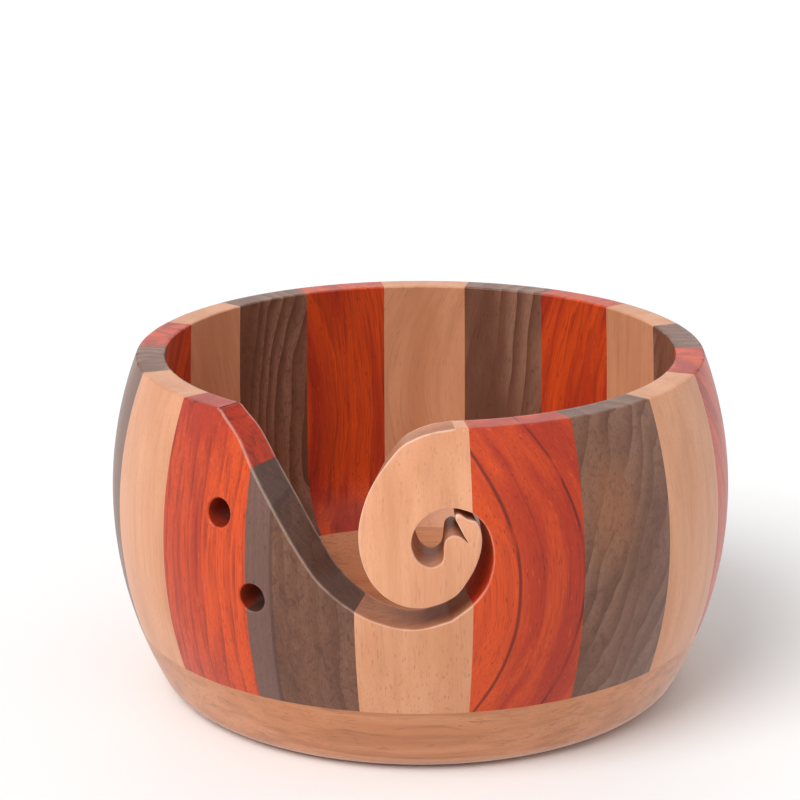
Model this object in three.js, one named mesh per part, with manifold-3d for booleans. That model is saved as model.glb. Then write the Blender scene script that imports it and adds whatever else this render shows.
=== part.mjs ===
// Yarn bowl: eighteen glued staves of three woods standing on a turned base disc,
// with a yarn slot sawn through the front wall that curls round a scroll into an eye.
// Millimetres, +Z up, front towards -Y, the foot stands on z = 0.
import * as THREE from 'three';
import { mergeVertices } from 'three/addons/utils/BufferGeometryUtils.js';
import Module from 'manifold-3d';

const wasm = await Module();
wasm.setup();

// ---- driving dimensions -------------------------------------------------
const height = 88;              // foot to rim
const sideRadius = 101;         // bulge of the outer wall, seen in section
const sideCentreR = -20.9;      // centre of that bulge: distance from the axis
const sideCentreZ = 50.4;       // centre of that bulge: height
const boreRadius = 66.5;        // inside wall
const leanStart = 52;           // above this height the inside wall leans in
const rimLean = 1.0;            // by this much at the rim
const floorZ = 11;              // top of the inside floor
const floorFillet = 26;         // round between floor and inside wall
const footRound = 8;            // round between foot and outer wall
const jointZ = 18.3;            // glue line between base disc and staves
const rimRound = 0.8;           // eased corners of the rim
const glueLine = 0.05;          // gap left between glued neighbours

const staveCount = 18;
const staveAngle = 2 * Math.PI / staveCount;
const wallSteps = 4;            // facets across one stave
const baseSteps = 72;           // facets round the base disc
const unrollRadius = 80;        // the slot is laid out on this cylinder

const holeDiameter = 7;         // two yarn holes left of the slot, straight through the wall
const holes = [
  { angle: -36.0, z: 64.6 },
  { angle: -28.8, z: 45.5 },
];

// The slot, laid out flat: across the wall from the middle of the front stave, and height.
// Outer edge: from the rim down the left slope, under the scroll and up its right side,
// then back over the tip and round the eye.
const rimClear = 8;             // the cutter runs this far above the rim
const slopeLead = [-57.5, height + rimClear];
const slopeEdge = [
  [-56.0, height], [-54.7, 87.6], [-53.3, 86.7], [-47.1, 82.6], [-41.4, 76.0], [-34.4, 67.4],
  [-26.4, 56.6], [-21.6, 51.0], [-14.0, 45.4], [-6.6, 42.4], [0.8, 41.5], [8.8, 43.5],
];
const bayEdge = [
  [8.8, 43.5], [14.0, 47.5], [17.3, 51.8], [18.8, 57.4], [18.5, 62.4], [16.8, 66.6], [13.9, 69.4],
];
const eyeEdge = [
  [13.9, 69.4], [9.6, 70.6], [4.8, 69.8], [1.0, 66.9], [-0.5, 62.6], [0.9, 58.6],
  [4.0, 56.9], [6.7, 58.2], [7.1, 61.6],
];
const lobeEdge = [[7.1, 61.6], [7.6, 63.3], [9.3, 64.3], [11.2, 63.8], [13.0, 62.3]];
// Inner edge: up the notch to the tip, down the right of the scroll, under it and up to the rim.
const tipEdge = [
  [13.0, 62.3], [12.1, 63.7], [11.3, 65.3], [10.5, 66.9], [9.9, 68.2], [10.1, 69.1], [11.0, 69.1],
  [11.9, 68.5], [12.8, 67.9], [13.8, 67.6], [14.9, 67.3],
];
const scrollEdge = [
  [14.9, 67.3], [15.8, 65.4], [16.1, 62.4], [15.2, 58.4], [12.9, 53.8], [9.2, 49.4],
  [2.4, 47.0], [-4.1, 48.1], [-9.4, 52.4], [-12.4, 59.2], [-12.8, 66.9], [-10.1, 75.4],
  [-4.2, 83.3], [0.3, 86.0], [5.0, 87.4],
];
const mouthEdge = [[5.0, 87.4], [10.5, height], [12, height + 2], [16, height + rimClear]];

// ---- woods ---------------------------------------------------------------
const woods = {
  beech: { color: 0xe0a878, roughness: 0.42 },
  padauk: { color: 0xb03a1c, roughness: 0.4 },
  walnut: { color: 0x6a4a3c, roughness: 0.45 },
};
const staveWoods = ['beech', 'padauk', 'walnut'];

// ---- helpers ---------------------------------------------------------------
function toManifold(geometry) {
  const bare = geometry.clone();
  bare.deleteAttribute('normal');
  bare.deleteAttribute('uv');
  const merged = mergeVertices(bare, 1e-4);
  const mesh = new wasm.Mesh({
    numProp: 3,
    vertProperties: new Float32Array(merged.attributes.position.array),
    triVerts: new Uint32Array(merged.index.array),
  });
  return new wasm.Manifold(mesh);
}

function toGeometry(solid) {
  const mesh = solid.getMesh();
  const geometry = new THREE.BufferGeometry();
  geometry.setAttribute('position', new THREE.BufferAttribute(mesh.vertProperties, 3));
  geometry.setIndex(new THREE.BufferAttribute(mesh.triVerts, 1));
  geometry.computeVertexNormals();
  return geometry;
}

function makeMesh(name, geometry, wood) {
  const material = new THREE.MeshStandardMaterial({ ...woods[wood], name: wood });
  const mesh = new THREE.Mesh(geometry, material);
  mesh.name = name;
  return mesh;
}

function outerRadius(z) {
  return sideCentreR + Math.sqrt(sideRadius ** 2 - (z - sideCentreZ) ** 2);
}

function innerRadius(z) {
  const centreZ = floorZ + floorFillet;
  if (z >= leanStart) return boreRadius - rimLean * ((z - leanStart) / (height - leanStart)) ** 2;
  if (z >= centreZ) return boreRadius;
  return boreRadius - floorFillet + Math.sqrt(Math.max(floorFillet ** 2 - (z - centreZ) ** 2, 0));
}

function spread(from, to, steps) {
  return Array.from({ length: steps + 1 }, (_, i) => from + (to - from) * i / steps);
}

// Section of the staved wall as [radius, height], running up the outside and down the inside.
function wallSection() {
  const top = height - rimRound;
  const outside = spread(jointZ + glueLine, top, 11).map((z) => [outerRadius(z), z]);
  const rim = [[outerRadius(top) - rimRound, height], [innerRadius(top) + rimRound, height]];
  const filletTop = floorZ + floorFillet;
  const inside = [...spread(top, leanStart, 4), ...spread(filletTop, jointZ + glueLine, 5)];
  return [...outside, ...rim, ...inside.map((z) => [innerRadius(z), z])];
}

// A section swept about Z between two angles; angle 0 faces -Y and grows towards +X.
function sweepSection(section, from, to, steps) {
  const count = section.length;
  const positions = [];
  for (const angle of spread(from, to, steps)) {
    for (const [r, z] of section) {
      positions.push(r * Math.sin(angle), -r * Math.cos(angle), z);
    }
  }
  const index = [];
  for (let ring = 0; ring < steps; ring++) {
    for (let i = 0; i < count; i++) {
      const a = ring * count + i;
      const b = ring * count + (i + 1) % count;
      index.push(a, a + count, b, b, a + count, b + count);
    }
  }
  const outline = section.map(([r, z]) => new THREE.Vector2(r, z));
  const caps = THREE.ShapeUtils.triangulateShape(outline, []);
  const last = steps * count;
  for (const [a, b, c] of caps) {
    index.push(a, b, c, last + c, last + b, last + a);
  }
  const geometry = new THREE.BufferGeometry();
  geometry.setAttribute('position', new THREE.Float32BufferAttribute(positions, 3));
  geometry.setIndex(index);
  return geometry;
}

// A smooth line through the listed points, cut into short straight steps.
function smooth(points, perSpan) {
  const curve = new THREE.SplineCurve(points.map(([u, z]) => new THREE.Vector2(u, z)));
  return curve.getPoints((points.length - 1) * perSpan).slice(0, -1).map((p) => [p.x, p.y]);
}

// A cutter whose sides run straight at the bowl's axis, from a flat layout on the wall.
function radialCutter(layout) {
  const inside = 50;
  const outside = 100;
  const outline = layout.map(([u, z]) => new THREE.Vector2(u, z));
  if (THREE.ShapeUtils.isClockWise(outline)) outline.reverse();
  const positions = [];
  for (const r of [inside, outside]) {
    for (const p of outline) {
      const angle = p.x / unrollRadius;
      positions.push(r * Math.sin(angle), -r * Math.cos(angle), p.y);
    }
  }
  const count = outline.length;
  const index = [];
  for (const [a, b, c] of THREE.ShapeUtils.triangulateShape(outline, [])) {
    index.push(c, b, a, count + a, count + b, count + c);
  }
  for (let i = 0; i < count; i++) {
    const j = (i + 1) % count;
    index.push(i, j, count + i, j, count + j, count + i);
  }
  const geometry = new THREE.BufferGeometry();
  geometry.setAttribute('position', new THREE.Float32BufferAttribute(positions, 3));
  geometry.setIndex(index);
  return toManifold(geometry);
}

function holeCutter({ angle, z }) {
  const centre = THREE.MathUtils.degToRad(angle) * unrollRadius;
  const steps = spread(0, 2 * Math.PI, 24).slice(0, -1);
  const ring = steps.map((t) => [centre + holeDiameter / 2 * Math.cos(t), z + holeDiameter / 2 * Math.sin(t)]);
  return radialCutter(ring);
}

// ---- cutters ---------------------------------------------------------------
const outerLine = [
  slopeLead, ...smooth(slopeEdge, 3), ...smooth(bayEdge, 3), ...smooth(eyeEdge, 3), ...smooth(lobeEdge, 2),
];
const innerLine = [...smooth(tipEdge, 2), ...smooth(scrollEdge, 3), ...mouthEdge];
const slot = radialCutter([...outerLine, ...innerLine]);
// The bay that the scroll swings through inside the next stave.
const bay = radialCutter([[4, 56], ...smooth(bayEdge, 3), bayEdge.at(-1), [4, 66]]);
const drills = holes.map(holeCutter);

// ---- pieces ----------------------------------------------------------------
const bowl = new THREE.Group();
bowl.name = 'yarn_bowl';
const section = wallSection();
const halfGap = glueLine / 2 / unrollRadius;
const staveHalf = staveAngle / 2 - halfGap;

function addBase() {
  const cornerR = sideCentreR + Math.sqrt((sideRadius - footRound) ** 2 - (sideCentreZ - footRound) ** 2);
  const tangent = Math.atan2(sideCentreZ - footRound, cornerR - sideCentreR);
  const points = [[0, 0]];
  for (const angle of spread(-Math.PI / 2, -tangent, 4)) {
    points.push([cornerR + footRound * Math.cos(angle), footRound * (1 + Math.sin(angle))]);
  }
  const cornerTop = points.at(-1)[1];
  points.push(...spread(cornerTop, jointZ, 3).slice(1).map((z) => [outerRadius(z), z]));
  points.push(...spread(jointZ, floorZ, 4).map((z) => [innerRadius(z), z]));
  points.push([0, floorZ]);
  const profile = points.map(([r, z]) => new THREE.Vector2(r, z));
  const geometry = new THREE.LatheGeometry(profile, baseSteps);
  geometry.rotateX(Math.PI / 2);
  bowl.add(makeMesh('base_disc', toGeometry(toManifold(geometry)), 'beech'));
}

// A stave is built facing the front and then turned to its own place.
function addStave(name, number, cutters) {
  let solid = toManifold(sweepSection(section, -staveHalf, staveHalf, wallSteps));
  const turn = number * staveAngle;
  for (const cutter of cutters) {
    solid = solid.subtract(cutter.rotate([0, 0, -THREE.MathUtils.radToDeg(turn)]));
  }
  const mesh = makeMesh(name, toGeometry(solid), staveWoods[number % staveWoods.length]);
  mesh.rotation.z = turn;
  bowl.add(mesh);
}

// The slot parts the front stave in two: a scroll hanging from the rim and a stub on the base.
function addFrontStave() {
  const stave = toManifold(sweepSection(section, -staveHalf, staveHalf, wallSteps));
  const wideWall = toManifold(sweepSection(section, 0, staveAngle, wallSteps));
  const pieces = stave.add(wideWall.intersect(bay)).subtract(slot).decompose();
  pieces.sort((a, b) => b.boundingBox().max[2] - a.boundingBox().max[2]);
  bowl.add(makeMesh('scroll', toGeometry(pieces[0]), 'beech'));
  bowl.add(makeMesh('stave_00', toGeometry(pieces.at(-1)), 'beech'));
}

addBase();
addFrontStave();
const cuttersByStave = { 1: [bay], 16: [slot, ...drills], 17: [slot, ...drills] };
for (let number = 1; number < staveCount; number++) {
  const name = `stave_${String(number).padStart(2, '0')}`;
  addStave(name, number, cuttersByStave[number] ?? []);
}

export default bowl;
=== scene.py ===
import math

import bpy
import numpy as np
from mathutils import Matrix, Vector
from mathutils.geometry import delaunay_2d_cdt


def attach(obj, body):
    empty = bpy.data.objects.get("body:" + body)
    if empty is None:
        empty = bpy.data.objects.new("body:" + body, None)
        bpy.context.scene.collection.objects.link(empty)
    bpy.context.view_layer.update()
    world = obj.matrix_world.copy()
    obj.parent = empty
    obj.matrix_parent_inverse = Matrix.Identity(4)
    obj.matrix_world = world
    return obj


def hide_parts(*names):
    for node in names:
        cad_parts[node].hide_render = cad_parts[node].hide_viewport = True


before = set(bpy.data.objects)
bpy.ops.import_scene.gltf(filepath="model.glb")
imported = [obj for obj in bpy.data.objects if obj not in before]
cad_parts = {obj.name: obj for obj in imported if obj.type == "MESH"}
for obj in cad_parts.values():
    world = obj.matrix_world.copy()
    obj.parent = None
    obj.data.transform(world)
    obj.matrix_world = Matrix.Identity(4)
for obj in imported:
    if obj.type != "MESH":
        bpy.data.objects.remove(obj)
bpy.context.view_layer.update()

# ---------------------------------------------------------------- dimensions, mm
MM = 0.001
HEIGHT = 88.0             # foot to rim
SIDE_RADIUS = 101.0       # bulge of the outer wall in section
SIDE_CENTRE_R = -20.9
SIDE_CENTRE_Z = 50.4
BORE_RADIUS = 66.5        # inside wall
LEAN_START = 52.0         # above this height the inside wall leans in
RIM_LEAN = 1.0            # by this much at the rim
FLOOR_Z = 11.0            # inside floor
FLOOR_FILLET = 26.0
FOOT_ROUND = 8.0
JOINT_Z = 18.3            # glue line between base disc and staves
UNROLL = 80.0             # radius of the cylinder the slot is laid out on
STAVES = 18
STAVE_ANGLE = 2 * math.pi / STAVES
HALF = STAVE_ANGLE / 2 * UNROLL
HOLE_RADIUS = 3.5
HOLES = [(-36.0, 64.6), (-28.8, 45.5)]    # degrees from the front, height
SLOT_EASE = 0.34          # rounded edges, mm
RIM_EASE = 0.4
HOLE_EASE = 0.5

# The slot's two edges, laid out flat as (distance round the bowl to the right of the front, height).
SLOPE = [(-56.0, HEIGHT), (-54.7, 87.6), (-53.3, 86.7), (-47.1, 82.6), (-41.4, 76.0), (-34.4, 67.4),
         (-26.4, 56.6), (-21.6, 51.0), (-14.0, 45.4), (-6.6, 42.4), (0.8, 41.5), (8.8, 43.5)]
BAY = [(8.8, 43.5), (14.0, 47.5), (17.3, 51.8), (18.8, 57.4), (18.5, 62.4), (16.8, 66.6), (13.9, 69.4)]
EYE = [(13.9, 69.4), (9.6, 70.6), (4.8, 69.8), (1.0, 66.9), (-0.5, 62.6), (0.9, 58.6), (4.0, 56.9),
       (6.7, 58.2), (7.1, 61.6)]
LOBE = [(7.1, 61.6), (7.6, 63.3), (9.3, 64.3), (11.2, 63.8), (13.0, 62.3)]
TIP = [(13.0, 62.3), (12.1, 63.7), (11.3, 65.3), (10.5, 66.9), (9.9, 68.2), (10.1, 69.1), (11.0, 69.1),
       (11.9, 68.5), (12.8, 67.9), (13.8, 67.6), (14.9, 67.3)]
SCROLL = [(14.9, 67.3), (15.8, 65.4), (16.1, 62.4), (15.2, 58.4), (12.9, 53.8), (9.2, 49.4),
          (2.4, 47.0), (-4.1, 48.1), (-9.4, 52.4), (-12.4, 59.2), (-12.8, 66.9), (-10.1, 75.4),
          (-4.2, 83.3), (0.3, 86.0), (5.0, 87.4)]
MOUTH = (10.5, HEIGHT)
EYE_CENTRE = (6.0, 63.0)
EYE_LEAN = (1.1, 0.7)     # how far the cut shifts across and up on its way in, at the eye's centre
EYE_REACH = 8.0           # how far from there the lean dies away
NOTCH_REACH = 4.0         # the slot's edge gets less painted highlight this near the notch beside the eye

OUTLINE_STEP = 0.55       # spacing of the points along the slot's edges
SPLINE_STEPS = 16
GRID_STEP = 1.55          # spacing of the points that fill a stave's faces
GRID_MARGIN = 0.8
BASE_SEGMENTS = 180


# ---------------------------------------------------------------- outlines
def spline(points, per_span):
    """Catmull-Rom line through the points, without its last point."""
    p = np.array(points, float)
    p = np.vstack([p[0], p, p[-1]])
    out = []
    for i in range(len(points) - 1):
        a, b, c, d = p[i:i + 4]
        for t in np.arange(per_span) / per_span:
            out.append(0.5 * (2 * b + (c - a) * t + (2 * a - 5 * b + 4 * c - d) * t ** 2
                              + (3 * b - a - 3 * c + d) * t ** 3))
    return np.array(out)


def respace(line, step):
    """The same open line with points about step apart."""
    line = np.asarray(line, float)
    lengths = np.r_[0, np.cumsum(np.linalg.norm(np.diff(line, axis=0), axis=1))]
    count = max(int(round(lengths[-1] / step)), 1)
    at = np.linspace(0, lengths[-1], count + 1)
    return np.c_[np.interp(at, lengths, line[:, 0]), np.interp(at, lengths, line[:, 1])]


def slot_edge(runs, ends):
    """Smooth line through the runs and on through the plain end points, evenly spaced."""
    smooth = [spline(run, SPLINE_STEPS) for run in runs]
    return respace(np.vstack([*smooth, ends]), OUTLINE_STEP)


OUTER = slot_edge((SLOPE, BAY, EYE, LOBE), [LOBE[-1]])
INNER = slot_edge((TIP, SCROLL), [SCROLL[-1], MOUTH])
SLOT = np.vstack([OUTER, INNER[1:]])


def circle(cu, cz, radius, start, end, count):
    """Points round a circle in the flat layout, from one angle to another."""
    a = np.linspace(start, end, count)
    return np.c_[cu + radius * np.cos(a), cz + radius * np.sin(a)]


def crossing(line, u, nth=0):
    """Index and point where the line passes u for the nth time."""
    side = line[:, 0] - u
    hits = np.where(side[:-1] * side[1:] <= 0)[0]
    i = hits[nth]
    t = side[i] / (side[i] - side[i + 1])
    return i, line[i] + (line[i + 1] - line[i]) * t


# ---------------------------------------------------------------- sections
def outer_radius(z):
    """Radius of the outside at a height: one arc that bulges most at SIDE_CENTRE_Z."""
    return SIDE_CENTRE_R + np.sqrt(SIDE_RADIUS ** 2 - (z - SIDE_CENTRE_Z) ** 2)


def inner_radius(z):
    """Radius of the inside at a height: floor fillet, straight bore, slight lean up to the rim."""
    drop = np.clip(FLOOR_Z + FLOOR_FILLET - z, 0, FLOOR_FILLET)
    lean = RIM_LEAN * np.clip((z - LEAN_START) / (HEIGHT - LEAN_START), 0, None) ** 2
    return BORE_RADIUS - FLOOR_FILLET + np.sqrt(FLOOR_FILLET ** 2 - drop ** 2) - lean


def outer_normal(z):
    nz = (z - SIDE_CENTRE_Z) / SIDE_RADIUS
    return np.sqrt(1 - nz ** 2), nz


def inner_normal(z):
    nz = np.clip(FLOOR_Z + FLOOR_FILLET - z, 0, FLOOR_FILLET) / FLOOR_FILLET
    nz = nz - 2 * RIM_LEAN * np.clip(z - LEAN_START, 0, None) / (HEIGHT - LEAN_START) ** 2
    return -np.sqrt(1 - nz ** 2), nz


def ease_depth(distance, radius):
    """How far a rounded edge drops below the surface at this distance in from it."""
    d = np.clip(distance, 0, radius)
    return radius - np.sqrt(radius ** 2 - (radius - d) ** 2)


def to_frame(u, z, r):
    """Points of the flat layout at these radii, as x, y, z in mm."""
    angle = u / UNROLL
    return np.stack([r * np.sin(angle), -r * np.cos(angle), z + 0 * r], -1)


def eye_lean(u, z):
    """How far the cut has moved across and up when it comes out inside, near the eye."""
    weight = np.exp(-((u - EYE_CENTRE[0]) ** 2 + (z - EYE_CENTRE[1]) ** 2) / EYE_REACH ** 2)
    weight = np.where(weight > 0.001, weight, 0)    # none at all further off
    return EYE_LEAN[0] * weight, EYE_LEAN[1] * weight


def line_distance(points, line):
    """Distance of each point to an open line."""
    a, b = line[:-1], line[1:]
    ab = b - a
    out = np.full(len(points), 1e9)
    batch = 400
    for start in range(0, len(points), batch):
        p = points[start:start + batch, None, :]
        t = np.clip(((p - a) * ab).sum(-1) / (ab ** 2).sum(-1), 0, 1)
        out[start:start + batch] = np.sqrt((((a + ab * t[..., None]) - p) ** 2).sum(-1).min(1))
    return out


def inside(points, loop):
    """Which points lie inside a closed outline."""
    hit = np.zeros(len(points), bool)
    x, y = points[:, 0], points[:, 1]
    for (x0, y0), (x1, y1) in zip(loop, np.roll(loop, -1, axis=0)):
        cross = (y0 > y) != (y1 > y)
        with np.errstate(divide="ignore", invalid="ignore"):
            hit ^= cross & (x < (x1 - x0) * (y - y0) / (y1 - y0) + x0)
    return hit


HOLE_CENTRES = [(math.radians(a) * UNROLL, z) for a, z in HOLES]


def edge_distances(points):
    """Distance of flat-layout points to the slot, to the rim and to the nearest yarn hole."""
    holes = [np.hypot(points[:, 0] - cu, points[:, 1] - cz) - HOLE_RADIUS for cu, cz in HOLE_CENTRES]
    return line_distance(points, SLOT), HEIGHT - points[:, 1], np.min(holes, axis=0)


EASES = (SLOT_EASE, RIM_EASE, HOLE_EASE)


def levels(radius):
    """Distances in from an edge at which its rounding turns by a quarter of the right angle each."""
    return [radius * (1 - math.cos(math.radians(a))) for a in (22.5, 45, 67.5, 90)]


def depth_at(points):
    """How far the rounded edges drop below the surface at each point."""
    return np.max([ease_depth(d, r) for d, r in zip(edge_distances(points), EASES)], axis=0)


def straight(a, b):
    """A straight run of the outline, with extra points where a rounded edge's rings meet it."""
    step, closest = 1.5, 0.02
    a, b = np.array(a, float), np.array(b, float)
    length = np.linalg.norm(b - a)
    at = list(np.linspace(0, 1, max(int(round(length / step)), 1) + 1))
    fine = np.linspace(0, 1, int(length / closest) + 2)
    pts = a + (b - a) * fine[:, None]
    for d, radius in zip(edge_distances(pts), EASES):
        for level in levels(radius):
            side = d - level
            for i in np.where(side[:-1] * side[1:] < 0)[0]:
                at.append(fine[i] + (fine[i + 1] - fine[i]) * side[i] / (side[i] - side[i + 1]))
    at = np.array(sorted(at))
    keep = np.r_[True, np.diff(at) * length > closest]
    at = at[keep]
    at[-1] = 1
    return a + (b - a) * at[:, None]


# ---------------------------------------------------------------- outlines of the pieces
LEFT_2, LEFT_1, RIGHT_1 = -3 * HALF, -HALF, HALF     # glue lines that the slot or a hole crosses
CROSS_L2 = crossing(OUTER, LEFT_2)
CROSS_L1 = crossing(OUTER, LEFT_1)
CROSS_R1 = crossing(OUTER, RIGHT_1)
CROSS_TOP = crossing(OUTER, RIGHT_1, 1)


def arc_gap(rising):
    """The lower yarn hole's arc on one side of the glue line between the two left staves."""
    cu, cz = HOLE_CENTRES[1]
    open_angle = math.acos((LEFT_2 - cu) / HOLE_RADIUS)
    if rising:
        return circle(cu, cz, HOLE_RADIUS, 2 * math.pi - open_angle, open_angle, 14)
    return circle(cu, cz, HOLE_RADIUS, open_angle, -open_angle, 30)


def back_along(line, start, end):
    """Part of a line walked backwards, from crossing start to crossing end."""
    (i, p), (j, q) = start, end
    return np.vstack([[p], line[j + 1:i + 1][::-1], [q]])


def outline_of(name, number):
    """The piece's outline, anticlockwise seen from outside, as (points, kind of edge)."""
    turn = number if number <= STAVES // 2 else number - STAVES
    lo, hi = (2 * turn - 1) * HALF, (2 * turn + 1) * HALF
    foot = (straight((lo, JOINT_Z), (hi, JOINT_Z)), "glue")
    if name.startswith("scroll"):
        i, p = CROSS_TOP
        return [
            (straight((hi, HEIGHT), MOUTH), "rim"),
            (np.vstack([[LOBE[-1]], INNER[1:]])[::-1], "cut"),
            (np.vstack([OUTER[i + 1:][::-1], [p]]), "cut"),
            (straight(p, (hi, HEIGHT)), "glue"),
        ]
    if number == 0:
        return [
            foot,
            (straight((hi, JOINT_Z), CROSS_R1[1]), "glue"),
            (back_along(OUTER, CROSS_R1, CROSS_L1), "cut"),
            (straight(CROSS_L1[1], (lo, JOINT_Z)), "glue"),
        ]
    if number == 1:
        return [
            foot,
            (straight((hi, JOINT_Z), (hi, HEIGHT)), "glue"),
            (straight((hi, HEIGHT), (lo, HEIGHT)), "rim"),
            (straight((lo, HEIGHT), CROSS_TOP[1]), "glue"),
            (back_along(OUTER, CROSS_TOP, CROSS_R1), "cut"),
            (straight(CROSS_R1[1], (lo, JOINT_Z)), "glue"),
        ]
    if number == 16:
        arc = arc_gap(True)
        return [
            foot,
            (straight((hi, JOINT_Z), arc[0]), "glue"),
            (arc, "hole"),
            (straight(arc[-1], CROSS_L2[1]), "glue"),
            (np.vstack([[CROSS_L2[1]], OUTER[:CROSS_L2[0] + 1][::-1]]), "cut"),
            (straight(OUTER[0], (lo, HEIGHT)), "rim"),
            (straight((lo, HEIGHT), (lo, JOINT_Z)), "glue"),
        ]
    if number == 17:
        arc = arc_gap(False)
        return [
            foot,
            (straight((hi, JOINT_Z), CROSS_L1[1]), "glue"),
            (back_along(OUTER, CROSS_L1, CROSS_L2), "cut"),
            (straight(CROSS_L2[1], arc[0]), "glue"),
            (arc, "hole"),
            (straight(arc[-1], (lo, JOINT_Z)), "glue"),
        ]
    return [
        foot,
        (straight((hi, JOINT_Z), (hi, HEIGHT)), "glue"),
        (straight((hi, HEIGHT), (lo, HEIGHT)), "rim"),
        (straight((lo, HEIGHT), (lo, JOINT_Z)), "glue"),
    ]


# ---------------------------------------------------------------- meshes
# Where the side faces have rows of points, as shares of the way through the wall.
ROWS = {
    "cut": (0.07, 0.35, 0.65, 0.93),
    "hole": (0.05, 0.5, 0.95),
    "rim": (0.15, 0.5, 0.85),
    "glue": (),
}


def ring_points(lo, hi):
    """Points along the rounded edges, so that the rounding is cut into clean rings."""
    found = []
    tangent = np.gradient(SLOT, axis=0)
    normal = np.c_[-tangent[:, 1], tangent[:, 0]] / np.linalg.norm(tangent, axis=1)[:, None]
    for level in levels(SLOT_EASE):
        for side in (-1, 1):
            p = SLOT + normal * side * level
            found.append(p[line_distance(p, SLOT) > level - 0.004])
    across = np.arange(lo + 0.7, hi, 1.3)
    for level in levels(RIM_EASE):
        found.append(np.c_[across, 0 * across + HEIGHT - level])
    for cu, cz in HOLE_CENTRES:
        for level in levels(HOLE_EASE):
            found.append(circle(cu, cz, HOLE_RADIUS + level, 0.05, 2 * math.pi + 0.05, 41)[:-1])
    return np.vstack(found)


def filling(loop, glue):
    """Points that fill an outline: rings along the rounded edges, and a plain grid between them."""
    off_edge, off_glue = 0.4, 0.5         # how far the grid stays away from rounded edges and glue lines
    ring_off_hole, ring_off_line, ring_off_glue = 0.005, 0.015, 0.15
    lo, hi = loop[:, 0].min(), loop[:, 0].max()

    def glue_distance(p):
        out = np.full(len(p), 1e9)
        for a, b in glue:
            out = np.minimum(out, line_distance(p, np.array([a, b])))
        return out

    gu, gz = np.meshgrid(np.arange(lo + GRID_MARGIN, hi, GRID_STEP),
                         np.arange(JOINT_Z + GRID_MARGIN, HEIGHT, GRID_STEP))
    grid = np.c_[gu.ravel(), gz.ravel()]
    grid = grid[inside(grid, loop)]
    far = np.ones(len(grid), bool)
    for d, radius in zip(edge_distances(grid), EASES):
        far &= d > radius + off_edge
    grid = grid[far]
    grid = grid[glue_distance(grid) > off_glue]
    rings = ring_points(lo, hi)
    rings = rings[inside(rings, loop)]
    rings = rings[edge_distances(rings)[2] > ring_off_hole]
    rings = rings[line_distance(rings, np.vstack([loop, loop[:1]])) > ring_off_line]
    rings = rings[glue_distance(rings) > ring_off_glue]
    return [rings, grid]


def flat_sheet(loops, fill, whole_holes):
    """Triangles of a face in the flat layout, and where each outline point ended up in it."""
    flat = np.vstack([line for line, _ in loops] + fill)
    edges, base = [], 0
    for line, _ in loops:
        edges += [(base + i, base + (i + 1) % len(line)) for i in range(len(line))]
        base += len(line)
    co, _, tris, origin, _, _ = delaunay_2d_cdt(
        [Vector(p) for p in flat], edges, [list(range(len(loops[0][0])))], 1, 1e-5)
    co = np.array([tuple(c) for c in co])
    place = {}
    for new, sources in enumerate(origin):
        for s in sources:
            place[s] = new
    sheet = []
    for t in tris:
        a, b, c = (co[i] for i in t)
        if any(math.hypot(*((a + b + c) / 3 - np.array(h))) < HOLE_RADIUS for h in whole_holes):
            continue
        area = (b[0] - a[0]) * (c[1] - a[1]) - (b[1] - a[1]) * (c[0] - a[0])
        sheet.append(tuple(t) if area > 0 else tuple(reversed(t)))
    return co, sheet, place


def stave_mesh(name, number):
    """Points and faces of a stave: the outside, the same sheet inside, and side faces between."""
    parts = outline_of(name, number)
    loop = np.vstack([p[:-1] for p, _ in parts])
    kinds = [k for p, k in parts for _ in p[:-1]]
    glue = np.array([(loop[i], loop[(i + 1) % len(loop)]) for i, k in enumerate(kinds) if k == "glue"])
    whole_holes = [(cu, cz) for cu, cz in HOLE_CENTRES
                   if number == 16 and inside(np.array([(cu, cz)]), loop)[0]
                   and cu + HOLE_RADIUS < loop[:, 0].max()]
    loops = [(loop, kinds)]
    for cu, cz in whole_holes:
        hole = circle(cu, cz, HOLE_RADIUS, 0, -2 * math.pi, 41)[:-1]
        loops.append((hole, ["hole"] * len(hole)))
    co, sheet, place = flat_sheet(loops, filling(loop, glue), whole_holes)

    n = len(co)
    depth = depth_at(co)
    r_out = outer_radius(co[:, 1]) - depth
    du, dz = eye_lean(co[:, 0], co[:, 1])
    r_in = inner_radius(co[:, 1] + dz) + depth
    points = [to_frame(co[:, 0], co[:, 1], r_out), to_frame(co[:, 0] + du, co[:, 1] + dz, r_in)]
    faces = [(t, "outer") for t in sheet]
    faces += [(tuple(i + n for i in reversed(t)), "inner") for t in sheet]
    total = 2 * n
    base = 0
    for line, kind in loops:
        count = len(line)
        rows = []
        for i in range(count):
            v = place[base + i]
            steps = ROWS[kind[i]] if kind[i] != "glue" else ROWS[kind[i - 1]]
            if steps:
                way = np.array(steps)
                r = r_out[v] + (r_in[v] - r_out[v]) * way
                points.append(to_frame(co[v, 0] + du[v] * way, co[v, 1] + dz[v] * way, r))
            rows.append([v, *range(total, total + len(steps)), v + n])
            total += len(steps)
        for i in range(count):
            j = (i + 1) % count
            if kind[i] != "glue" and len(rows[i]) == len(rows[j]):
                for k in range(len(rows[i]) - 1):
                    faces.append(((rows[i][k + 1], rows[j][k + 1], rows[j][k], rows[i][k]), kind[i]))
            else:
                faces.append((tuple(rows[i][::-1] + rows[j]), kind[i]))
        base += count
    return np.vstack(points), faces, co, depth, n


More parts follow.
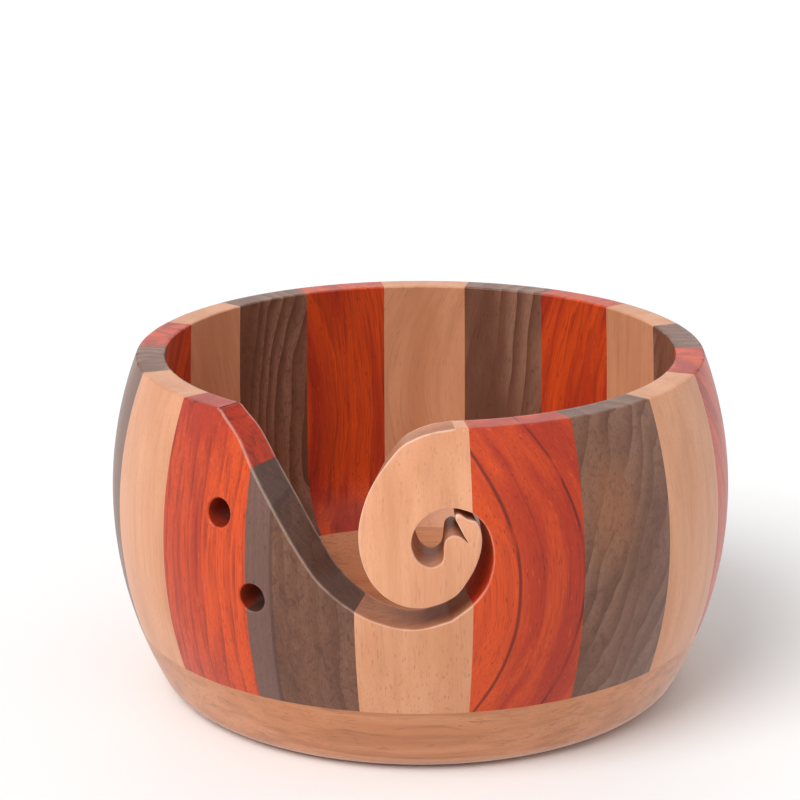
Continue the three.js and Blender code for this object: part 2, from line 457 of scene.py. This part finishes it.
def finish_mesh(name, points, faces, normals):
    """Object from points in mm and (corner indices, kind) faces, with hard edges at glue faces."""
    mesh = bpy.data.meshes.new(name)
    mesh.from_pydata((points * MM).tolist(), [], [f for f, _ in faces])
    mesh.validate()
    mesh.polygons.foreach_set("use_smooth", np.ones(len(mesh.polygons), bool))
    kinds = [k for _, k in faces]
    flat_normals = np.zeros(len(mesh.polygons) * 3)
    mesh.polygons.foreach_get("normal", flat_normals)
    flat_normals = flat_normals.reshape(-1, 3)
    by_edge = {}
    for poly in mesh.polygons:
        for key in poly.edge_keys:
            by_edge.setdefault(key, []).append(poly.index)
    surface = ("outer", "inner")
    for edge in mesh.edges:
        near = by_edge[tuple(sorted(edge.vertices))]
        if len(near) != 2:
            edge.use_edge_sharp = True
            continue
        a, b = near
        glued = (kinds[a] == "glue") != (kinds[b] == "glue")
        walls = kinds[a] not in surface and kinds[b] not in surface
        edge.use_edge_sharp = glued or (walls and flat_normals[a] @ flat_normals[b] < 0.8)
    mesh.update()
    corner = np.zeros(len(mesh.loops) * 3)
    mesh.corner_normals.foreach_get("vector", corner)
    corner = corner.reshape(-1, 3)
    normals(mesh, kinds, corner)
    mesh.normals_split_custom_set(corner.tolist())
    obj = bpy.data.objects.new(name, mesh)
    bpy.context.scene.collection.objects.link(obj)
    return obj


SAWN_AND_SHADED = {"cut": 1.0, "hole": 2.4}      # how dark the sawn faces are, partly the raw sawn wood and partly painted shade in the slot; the drilled holes' extra darkness is painted shade


def wood_coordinates(obj, points, turn, offset, kinds, edge=None, across=False):
    """Stores what the wood needs: each point's place in its own board, m, and the kind of surface."""
    c, s = math.cos(-turn), math.sin(-turn)
    x = points[:, 0] * c - points[:, 1] * s
    y = points[:, 0] * s + points[:, 1] * c
    local = np.c_[points[:, 2], y, x] if across else np.c_[x, y + UNROLL, points[:, 2]]
    mesh = obj.data
    board = mesh.attributes.new("board", "FLOAT_VECTOR", "POINT")
    board.data.foreach_set("vector", (local * MM + np.array(offset)).astype(np.float32).ravel())
    height = mesh.attributes.new("height", "FLOAT", "POINT")
    height.data.foreach_set("value", (points[:, 2] * MM).astype(np.float32))
    # The edge attribute is the share of painted highlight on the eased slot edges.
    painted_highlight = mesh.attributes.new("edge", "FLOAT", "POINT")
    painted_highlight.data.foreach_set("value", np.zeros(len(points), np.float32) if edge is None else edge)
    cut = mesh.attributes.new("cut", "FLOAT", "FACE")
    cut.data.foreach_set("value", np.array([SAWN_AND_SHADED.get(k, 0) for k in kinds], np.float32))


def painted_highlight_share(points):
    """How strong the painted highlight on the slot's eased edge is: most on the scroll, least in the
    notch beside the eye.
    """
    scroll_side = np.clip(1 - line_distance(points, INNER) / SLOT_EASE, 0, 1)
    wall_side = np.clip(1 - line_distance(points, OUTER) / SLOT_EASE, 0, 1)
    from_notch = np.hypot(*(points - LOBE[-1]).T)
    wear = np.maximum(scroll_side, 0.6 * wall_side)
    return wear * np.clip(from_notch / NOTCH_REACH, 0, 1)


FIGURED = (1, 2, 16, 17)    # front staves whose pattern is placed across the board


def add_stave(name, number, material):
    points, faces, co, depth, n = stave_mesh(name, number)

    def true_normals(mesh, kinds, corner):
        """The turned surface's own normals, so that its triangles don't show in the gloss."""
        for poly in mesh.polygons:
            kind = kinds[poly.index]
            if kind not in ("outer", "inner"):
                continue
            for li in poly.loop_indices:
                v = mesh.loops[li].vertex_index
                flat = v if v < n else v - n
                if depth[flat] > 0:
                    continue
                z = co[flat, 1]
                angle = co[flat, 0] / UNROLL
                nr, nz = outer_normal(z) if kind == "outer" else inner_normal(z)
                corner[li] = (nr * math.sin(angle), -nr * math.cos(angle), nz)

    obj = finish_mesh(name, points, faces, true_normals)
    rng = np.random.default_rng(100 + number)
    shift = rng.uniform(0.2, 3, 3)
    if number in FIGURED:
        shift = shift * (0, 1, 1)
    # Share of painted highlight on the eased slot edges, on the outside and the inside sheet.
    painted_highlight = np.zeros(len(points), np.float32)
    painted_highlight[:n] = painted_highlight[n:2 * n] = painted_highlight_share(co)
    wood_coordinates(obj, points, number * STAVE_ANGLE, shift, [k for _, k in faces], edge=painted_highlight)
    obj.data.materials.append(material)
    return obj


def base_profile():
    """Outside, glue face and dish of the base disc, each as (radius, height, normal r, normal z)."""
    drop = SIDE_CENTRE_Z - FOOT_ROUND
    corner_r = SIDE_CENTRE_R + math.sqrt((SIDE_RADIUS - FOOT_ROUND) ** 2 - drop ** 2)
    tangent = math.atan2(drop, corner_r - SIDE_CENTRE_R)
    outside = [(r, 0, 0, -1) for r in np.linspace(0, corner_r, 24)]
    bend = []
    for a in np.linspace(-math.pi / 2, -tangent, 12):
        nr, nz = math.cos(a), math.sin(a)
        bend.append((corner_r + FOOT_ROUND * nr, FOOT_ROUND * (1 + nz), nr, nz))
    side = [(float(outer_radius(z)), z, *map(float, outer_normal(z)))
            for z in np.linspace(bend[-1][1], JOINT_Z, 12)[1:]]
    outside += bend[1:] + side
    glue = [(side[-1][0], JOINT_Z, 0, 1), (float(inner_radius(JOINT_Z)), JOINT_Z, 0, 1)]
    dish = [(float(inner_radius(z)), z, *map(float, inner_normal(z)))
            for z in JOINT_Z - (JOINT_Z - FLOOR_Z) * (1 - np.cos(np.linspace(0, math.pi / 2, 14)))]
    dish += [(r, FLOOR_Z, 0, 1) for r in np.linspace(dish[-1][0], 0, 18)[1:]]
    return outside, glue, dish


def add_base(material):
    segments = BASE_SEGMENTS
    turns = np.arange(segments) * 2 * math.pi / segments
    points, faces, normals = [], [], []
    for run, kind in zip(base_profile(), ("outer", "glue", "inner")):
        start = sum(len(p) for p in points)
        for r, z, _, _ in run:
            points.append(np.c_[r * np.sin(turns), -r * np.cos(turns), np.full(segments, z)])
        for k in range(len(run) - 1):
            for i in range(segments):
                j = (i + 1) % segments
                a, b = start + k * segments, start + (k + 1) * segments
                faces.append(((a + i, a + j, b + j, b + i), kind))
        normals += [(nr, nz) for _, _, nr, nz in run]
    points = np.vstack(points)
    unit = np.array(normals)

    def true_normals(mesh, kinds, corner):
        for loop in mesh.loops:
            ring, i = divmod(loop.vertex_index, segments)
            nr, nz = unit[ring]
            corner[loop.index] = (nr * math.sin(turns[i]), -nr * math.cos(turns[i]), nz)

    obj = finish_mesh("base_disc_visual", points, faces, true_normals)
    wood_coordinates(obj, points, 0, (0.4, 0.7, 0.1), [k for _, k in faces], across=True)
    obj.data.materials.append(material)
    return obj


# ---------------------------------------------------------------- wood
class Nodes:
    """Adds and links the shader nodes of one material. Patterns are laid out in millimetres."""

    def __init__(self, name):
        self.material = bpy.data.materials.new(name)
        self.material.use_nodes = True
        self.tree = self.material.node_tree
        self.tree.nodes.clear()

    def add(self, kind, inputs=(), **settings):
        node = self.tree.nodes.new(kind)
        for key, value in settings.items():
            setattr(node, key, value)
        for key, value in dict(inputs).items():
            self.join(value, node.inputs[key])
        return node

    def join(self, value, socket):
        if isinstance(value, bpy.types.NodeSocket):
            self.tree.links.new(value, socket)
        elif socket.type == "RGBA":
            socket.default_value = (*value, 1)
        else:
            socket.default_value = value

    def attribute(self, name, output="Fac"):
        return self.add("ShaderNodeAttribute", attribute_name=name).outputs[output]

    def math(self, operation, a, b=0.0, c=0.0):
        return self.add("ShaderNodeMath", {0: a, 1: b, 2: c}, operation=operation).outputs[0]

    def times(self, a, b):
        return self.math("MULTIPLY", a, b)

    def vector(self, x, y, z):
        return self.add("ShaderNodeCombineXYZ", {0: x, 1: y, 2: z}).outputs[0]

    def scaled(self, vector, sizes):
        """The vector divided by a size per axis, so that a pattern's cells are that large, mm."""
        scale = tuple(1 / s for s in sizes)
        return self.add("ShaderNodeVectorMath", {0: vector, 1: scale}, operation="MULTIPLY").outputs[0]

    def noise(self, vector, sizes, detail=2.0, roughness=0.5, distortion=0.0):
        inputs = {"Vector": self.scaled(vector, sizes), "Scale": 1.0, "Detail": detail,
                  "Roughness": roughness, "Distortion": distortion}
        return self.add("ShaderNodeTexNoise", inputs).outputs["Fac"]

    def ramp(self, value, low, high, to=(0.0, 1.0)):
        """Soft step from to[0] at low to to[1] at high."""
        inputs = {"Value": value, "From Min": low, "From Max": high, "To Min": to[0], "To Max": to[1]}
        node = self.add("ShaderNodeMapRange", inputs, interpolation_type="SMOOTHSTEP", clamp=True)
        return node.outputs[0]

    def mix(self, amount, a, b, blend="MIX"):
        node = self.add("ShaderNodeMix", {0: amount}, data_type="RGBA", blend_type=blend)
        self.join(a, node.inputs[6])
        self.join(b, node.inputs[7])
        return node.outputs[2]

    def strokes(self, vector, cell, reach, share):
        """Short marks along the grain, one per cell in that share of the cells."""
        cells = self.add("ShaderNodeTexVoronoi", {"Vector": self.scaled(vector, cell), "Scale": 1.0})
        near = self.ramp(cells.outputs["Distance"], reach, reach * 0.4)
        pick = self.add("ShaderNodeSeparateColor", {0: cells.outputs["Color"]}).outputs[0]
        return self.times(near, self.math("LESS_THAN", pick, share))

    def rings(self, across, pitch, late):
        """Growth rings along the across coordinate: each darkens slowly to a sharp late line."""
        phase = self.math("FRACT", self.math("DIVIDE", across, pitch))
        slow = self.ramp(phase, 0.1, 0.95)
        line = self.times(self.ramp(phase, late, 0.97), self.ramp(phase, 1.0, 0.985))
        return slow, line

    def line_at(self, across, place, width):
        """One thin line where the across coordinate passes a place."""
        off = self.math("ABSOLUTE", self.math("SUBTRACT", across, place))
        return self.ramp(off, width, width * 0.25)


class Board(Nodes):
    """A board's own coordinates, mm: x across, y through, z along the grain, across its wavy rings."""

    def __init__(self, name, bow=0.0, bow_at=50.0, lean=0.0, waviness=1.0):
        super().__init__(name)
        board = self.attribute("board", "Vector")
        self.mm = self.scaled(board, (MM, MM, MM))
        self.x, self.y, self.z = self.add("ShaderNodeSeparateXYZ", {0: self.mm}).outputs[:3]
        self.height = self.times(self.attribute("height"), 1 / MM)
        up = self.math("SUBTRACT", self.height, bow_at)
        bowed = self.math("MULTIPLY_ADD", self.times(up, up), bow, self.x)
        leaned = self.math("MULTIPLY_ADD", up, -lean, bowed)
        wave = self.noise(self.mm, (11, 11, 45), 2)
        self.across = self.math("MULTIPLY_ADD", wave, 6.0 * waviness, leaned)
        self.grain = self.vector(self.across, self.y, self.z)


def toned(colour, factors):
    """A colour with each channel scaled by its factor, or all of them by one."""
    if isinstance(factors, float):
        factors = (factors,) * 3
    return tuple(c * f for c, f in zip(colour, factors))


def lacquer(n, colour, relief, roughness, saw):
    """Satin lacquer: sawn faces darker with sanding marks, partly the raw sawn wood and partly painted
    shade; drilled holes darker still with painted shade; and a painted highlight along the eased edges.
    """
    # The first colour is a painted highlight for the eased edges, the second painted shade for inside
    # the drilled holes.
    painted_edge_highlight, hole_shade = (0.93, 0.72, 0.6), (0.05, 0.016, 0.01)
    cut = n.attribute("cut")
    turned = n.add("ShaderNodeVectorRotate", {"Vector": n.mm, "Angle": math.radians(52)},
                   rotation_type="Z_AXIS")
    marks = n.noise(turned.outputs[0], (0.3, 5, 3), 2, 0.6)
    # Sawn faces darken: partly the raw sawn wood, partly painted shade down in the slot.
    sawn = n.math("MINIMUM", cut, 1.0)
    darker = n.mix(n.ramp(marks, 0.4, 0.72), saw, toned(saw, 0.68))
    colour = n.mix(sawn, colour, n.mix(1.0, colour, darker, "MULTIPLY"))
    # Painted shade inside the drilled holes.
    hole_painted_shade = n.math("MAXIMUM", n.math("SUBTRACT", cut, 1.0), 0.0)
    colour = n.mix(n.times(hole_painted_shade, 0.32), colour, hole_shade)
    # Painted highlight: eased edges lightened towards a pale colour, patchy along their length.
    edge = n.times(n.attribute("edge"), n.ramp(n.noise(n.mm, (3, 3, 5), 2), 0.25, 0.6, (0.2, 0.5)))
    colour = n.mix(edge, colour, painted_edge_highlight)
    relief = n.math("ADD", relief, n.times(n.times(marks, sawn), 0.8))
    bump = n.add("ShaderNodeBump", {"Height": relief, "Strength": 0.45, "Distance": 0.06 * MM})
    shader = n.add("ShaderNodeBsdfPrincipled", {
        "Base Color": colour,
        "Roughness": n.math("MULTIPLY_ADD", sawn, 0.14, roughness),
        "Normal": bump.outputs[0],
        "Specular IOR Level": 0.25,
        "Coat Weight": 0.2,
        "Coat Roughness": 0.3,
    })
    out = n.add("ShaderNodeOutputMaterial")
    n.join(shader.outputs[0], out.inputs[0])
    return n.material


def beech(name, light=(0.7, 0.335, 0.185), flecked=1.0, streaked=1.0, **figure):
    """Pale wood with soft streaks and short brown flecks."""
    n = Board(name, **figure)
    brown, fleck = toned(light, (0.87, 0.79, 0.72)), (0.29, 0.125, 0.07)
    colour = n.mix(n.ramp(n.noise(n.mm, (10, 10, 60), 2), 0.3, 0.72), light, brown)
    streak = n.ramp(n.noise(n.grain, (2.6, 6, 150), 3, 0.55), 0.42, 0.72, (0.0, 0.28 * streaked))
    colour = n.mix(streak, colour, toned(brown, 0.72))
    thread = n.ramp(n.noise(n.grain, (0.7, 1.6, 26), 2, 0.5), 0.54, 0.74, (0.0, 0.2 * streaked))
    colour = n.mix(thread, colour, toned(brown, 0.5))
    fibre = n.noise(n.grain, (0.22, 0.22, 5), 2, 0.65)
    colour = n.mix(n.ramp(fibre, 0.42, 0.8, (0.0, 0.4)), colour, toned(light, (0.7, 0.6, 0.55)))
    crowd = n.ramp(n.noise(n.mm, (14, 14, 30), 1), 0.3, 0.6, (0.35, 1.0))
    fine = n.strokes(n.grain, (0.6, 0.6, 5.5), 0.28, 0.55)
    long = n.strokes(n.grain, (0.95, 0.95, 10.0), 0.2, 0.5)
    marks = n.times(n.math("MAXIMUM", n.times(long, 0.5), n.times(fine, 0.42)), n.times(crowd, flecked))
    colour = n.mix(marks, colour, fleck)
    relief = n.math("SUBTRACT", n.times(fibre, 0.5), marks)
    return lacquer(n, colour, relief, n.math("MULTIPLY_ADD", fibre, 0.14, 0.34), (0.72, 0.62, 0.56))


def padauk(name, lines=(), sweep=None, pitch=4.5, streaks=1.0, **figure):
    """Orange and crimson wood. Lines are single dark arcs, as (place across, width, strength)."""
    n = Board(name, **figure)
    orange, crimson, glow = (0.66, 0.075, 0.012), (0.42, 0.034, 0.013), (0.78, 0.13, 0.035)
    late, ring_line, shade = (0.27, 0.026, 0.013), (0.12, 0.013, 0.009), (0.2, 0.02, 0.012)
    fibre_shade, arc, pore = (0.2, 0.018, 0.01), (0.07, 0.009, 0.01), (0.07, 0.01, 0.01)
    wander = n.ramp(n.noise(n.grain, (6, 7, 70), 2, 0.5), 0.36, 0.64)
    if sweep:
        patchy = n.math("MULTIPLY_ADD", wander, 0.6, 0.42)
        swept = n.math("MULTIPLY_ADD", n.ramp(n.across, *sweep), -0.75, patchy)
        wander = n.ramp(swept, 0.0, 1.0)
    colour = n.mix(wander, orange, crimson)
    wavy = n.math("MULTIPLY_ADD", n.noise(n.mm, (16, 16, 160), 2), 14.0, n.across)
    slow, line = n.rings(wavy, pitch, 0.7)
    broken = n.ramp(n.noise(n.grain, (2.5, 4, 16), 2), 0.34, 0.66)
    colour = n.mix(n.times(slow, 0.16 * streaks), colour, late)
    colour = n.mix(n.times(n.times(line, broken), 0.3 * streaks * streaks), colour, ring_line)
    streak = n.ramp(n.noise(n.grain, (1.3, 3, 55), 3, 0.6), 0.5, 0.72, (0.0, 0.5 * streaks))
    colour = n.mix(streak, colour, shade)
    fibre = n.noise(n.grain, (0.28, 0.3, 12), 2, 0.65)
    colour = n.mix(n.ramp(fibre, 0.46, 0.76, (0.0, 0.5)), colour, fibre_shade)
    glint = n.ramp(n.noise(n.grain, (0.4, 0.5, 3.0), 1), 0.64, 0.78, (0.0, 0.35))
    colour = n.mix(glint, colour, glow)
    for place, width, strength in lines:
        thin = n.times(n.line_at(n.across, place, width), n.ramp(broken, 0.0, 0.5, (0.35, 1.0)))
        colour = n.mix(n.times(thin, strength), colour, arc)
    pores = n.strokes(n.grain, (0.85, 0.85, 5), 0.2, 0.45)
    colour = n.mix(n.times(pores, 0.55), colour, pore)
    relief = n.math("SUBTRACT", n.times(fibre, 0.4), pores)
    return lacquer(n, colour, relief, n.math("MULTIPLY_ADD", fibre, 0.16, 0.31), (0.9, 0.56, 0.42))


def walnut(name, pitch=4.6, banding=0.8, mottle=0.3, warmth=None, strip=None, **figure):
    """Grey-brown wood. Warmth is a warm patch (x, height, its two radii), strip a plain band (x, x)."""
    n = Board(name, **figure)
    light, mid, dark = (0.35, 0.185, 0.125), (0.185, 0.078, 0.046), (0.085, 0.036, 0.024)
    warm, curl_light, speckle = (0.33, 0.13, 0.06), (0.26, 0.12, 0.07), (0.1, 0.045, 0.03)
    strip_light, strip_dark = (0.2, 0.105, 0.082), (0.14, 0.07, 0.055)
    fibre_shade, pore = (0.06, 0.027, 0.02), (0.035, 0.016, 0.012)
    colour = n.mix(n.ramp(n.noise(n.grain, (7, 8, 60), 3, 0.55), 0.32, 0.68), mid, toned(mid, 0.8))
    wavy = n.math("MULTIPLY_ADD", n.noise(n.mm, (12, 12, 60), 2), 9.0, n.across)
    slow, line = n.rings(wavy, pitch, 0.8)
    fade = n.ramp(n.noise(n.mm, (18, 18, 50), 2), 0.3, 0.62)
    early = n.times(n.math("SUBTRACT", 1.0, slow), n.times(fade, banding * 0.95))
    colour = n.mix(early, colour, light)
    colour = n.mix(n.times(n.times(line, fade), banding * banding * 0.5), colour, dark)
    if warmth:
        cx, cz, rx, rz = warmth
        dx = n.math("DIVIDE", n.math("SUBTRACT", n.x, cx), rx)
        dz = n.math("DIVIDE", n.math("SUBTRACT", n.height, cz), rz)
        far = n.math("SQRT", n.math("ADD", n.times(dx, dx), n.times(dz, dz)))
        colour = n.mix(n.ramp(far, 1.15, 0.1, (0.0, 0.75)), colour, warm)
    curl = n.noise(n.mm, (3.2, 3.2, 4.5), 3, 0.6, 1.5)
    colour = n.mix(n.times(n.ramp(curl, 0.5, 0.72), mottle), colour, dark)
    colour = n.mix(n.times(n.ramp(curl, 0.48, 0.3), mottle * 0.6), colour, curl_light)
    speck = n.noise(n.mm, (0.55, 0.55, 0.9), 2, 0.7)
    colour = n.mix(n.times(n.ramp(speck, 0.5, 0.72), mottle), colour, speckle)
    if strip:
        left, right = strip
        inside = n.times(n.ramp(n.x, left - 0.2, left + 0.2), n.ramp(n.x, right + 0.25, right - 0.25))
        plain_wood = n.mix(n.noise(n.mm, (1.0, 3, 90), 2), strip_light, strip_dark)
        colour = n.mix(inside, colour, plain_wood)
        colour = n.mix(n.times(n.line_at(n.x, right, 0.7), 0.55), colour, dark)
    fibre = n.noise(n.grain, (0.24, 0.24, 7), 2, 0.65)
    colour = n.mix(n.ramp(fibre, 0.46, 0.8, (0.0, 0.45)), colour, fibre_shade)
    pores = n.strokes(n.grain, (0.8, 0.8, 4.5), 0.2, 0.45)
    colour = n.mix(n.times(pores, 0.5), colour, pore)
    relief = n.math("SUBTRACT", n.times(fibre, 0.4), pores)
    return lacquer(n, colour, relief, n.math("MULTIPLY_ADD", fibre, 0.14, 0.33), (0.7, 0.62, 0.55))


def stave_wood(number):
    """The board each stave is cut from. The ones at the front have a figure of their own."""
    name = f"stave_{number:02d}_wood"
    rng = np.random.default_rng(500 + number)
    bow = float(rng.choice([-0.008, -0.003, 0.0, 0.004, 0.009]))
    lean = float(rng.uniform(-0.12, 0.12))
    if number == 0:
        return beech(name, flecked=1.15)
    if number == 1:
        arcs = [(-1.6, 0.7, 0.7), (15.4, 0.6, 0.7), (4.5, 0.4, 0.2)]
        return padauk(name, bow=0.0095, bow_at=50, waviness=0.35, lines=arcs, sweep=(10.0, -9.0),
                      streaks=0.45)
    if number == 2:
        return walnut(name, pitch=5.6, lean=0.4, waviness=1.8, warmth=(-5.0, 66.0, 11.0, 18.0),
                      mottle=0.4, banding=0.5)
    if number == 16:
        return padauk(name, sweep=(-8.0, 15.0), waviness=0.3, streaks=1.2)
    if number == 17:
        return walnut(name, strip=(-14.5, -6.8), mottle=0.6, banding=0.25)
    if number in (3, 15):
        return beech(name, flecked=0.3, lean=lean * 0.3)
    if number % 3 == 0:
        return beech(name, bow=bow, lean=lean, flecked=float(rng.uniform(0.5, 1.1)))
    if number % 3 == 1:
        return padauk(name, bow=bow, lean=lean, pitch=float(rng.uniform(3.8, 6)))
    return walnut(name, bow=bow, lean=lean * 2, pitch=float(rng.uniform(3.5, 6)),
                  mottle=float(rng.uniform(0.1, 0.45)))


# ---------------------------------------------------------------- build
SPECIES = ("beech", "padauk", "walnut")


def place(obj, node, species):
    """Puts a piece in the place of its CAD node."""
    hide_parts(node)
    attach(obj, "root")


# The base's beech is darker and more saturated than the staves': partly its own tone, partly painted
# shade for its downturned side.
base_wood = beech("base_wood", light=(0.62, 0.27, 0.135), flecked=1.5, streaked=2.4)
place(add_base(base_wood), "base_disc", "beech")
scroll_wood = beech("scroll_wood", light=(0.78, 0.385, 0.22), flecked=0.8)
place(add_stave("scroll_visual", 0, scroll_wood), "scroll", "beech")
for number in range(STAVES):
    node = f"stave_{number:02d}"
    place(add_stave(node + "_visual", number, stave_wood(number)), node, SPECIES[number % 3])


# ---------------------------------------------------------------- floor, light, camera
def add_floor():
    """A plain near-white floor that the gloss of the wood doesn't mirror."""
    material = bpy.data.materials.new("floor")
    material.use_nodes = True
    bsdf = material.node_tree.nodes["Principled BSDF"]
    bsdf.inputs["Base Color"].default_value = (0.92, 0.92, 0.92, 1)
    bsdf.inputs["Roughness"].default_value = 0.6
    mesh = bpy.data.meshes.new("floor")
    s = 3.0
    mesh.from_pydata([(-s, -s, 0), (s, -s, 0), (s, s, 0), (-s, s, 0)], [], [(0, 1, 2, 3)])
    obj = bpy.data.objects.new("floor", mesh)
    bpy.context.scene.collection.objects.link(obj)
    obj.data.materials.append(material)
    obj.visible_glossy = False


def add_world():
    """A studio: a white backdrop behind the bowl, a dimmer ceiling and a dim room in front."""
    front, back, ceiling = 0.4, 1.0, 0.5
    world = bpy.data.worlds.new("studio")
    bpy.context.scene.world = world
    world.use_nodes = True
    tree = world.node_tree
    split = tree.nodes.new("ShaderNodeSeparateXYZ")
    tree.links.new(tree.nodes.new("ShaderNodeTexCoord").outputs["Generated"], split.inputs[0])

    def soft_step(socket, low, high, start, end):
        node = tree.nodes.new("ShaderNodeMapRange")
        node.interpolation_type = "SMOOTHSTEP"
        tree.links.new(socket, node.inputs["Value"])
        for name, value in (("From Min", low), ("From Max", high)):
            node.inputs[name].default_value = value
        for name, value in (("To Min", start), ("To Max", end)):
            if isinstance(value, bpy.types.NodeSocket):
                tree.links.new(value, node.inputs[name])
            else:
                node.inputs[name].default_value = value
        return node.outputs[0]

    walls = soft_step(split.outputs["Y"], -0.7, 0.45, front, back)
    room = soft_step(split.outputs["Z"], 0.25, 0.85, walls, ceiling)
    background = tree.nodes["Background"]
    background.inputs["Color"].default_value = (1, 1, 1, 1)
    tree.links.new(room, background.inputs["Strength"])


def add_sun(name, azimuth, elevation, strength, spread):
    """A large soft light far off. Azimuth 0 is in front of the bowl, and it grows to the right."""
    lamp = bpy.data.lights.new(name, "SUN")
    lamp.energy = strength
    lamp.angle = math.radians(spread)
    obj = bpy.data.objects.new(name, lamp)
    az, el = math.radians(azimuth), math.radians(elevation)
    towards = Vector((math.sin(az) * math.cos(el), -math.cos(az) * math.cos(el), math.sin(el)))
    obj.rotation_euler = towards.to_track_quat("Z", "Y").to_euler()
    bpy.context.scene.collection.objects.link(obj)


def add_camera():
    """The photo's viewpoint, solved from the rim, the glue lines, the base and the slot."""
    away, up, azimuth = 0.61474, 0.25486, math.radians(1.146)
    pan, tilt, roll = math.radians(1.63), math.radians(90 - 16.412), math.radians(-0.249)
    data = bpy.data.cameras.new("camera")
    data.sensor_width = 36
    data.lens = 111.06
    obj = bpy.data.objects.new("camera", data)
    at = Matrix.Translation((away * math.sin(azimuth), -away * math.cos(azimuth), up))
    turn = Matrix.Rotation(pan, 4, "Z") @ Matrix.Rotation(tilt, 4, "X") @ Matrix.Rotation(roll, 4, "Z")
    obj.matrix_world = at @ turn
    bpy.context.scene.collection.objects.link(obj)
    bpy.context.scene.camera = obj


add_floor()
add_sun("key", azimuth=-42, elevation=48, strength=2.3, spread=40)
add_sun("fill", azimuth=20, elevation=35, strength=0.3, spread=60)
add_world()
bpy.context.scene.view_settings.view_transform = "Standard"
add_camera()
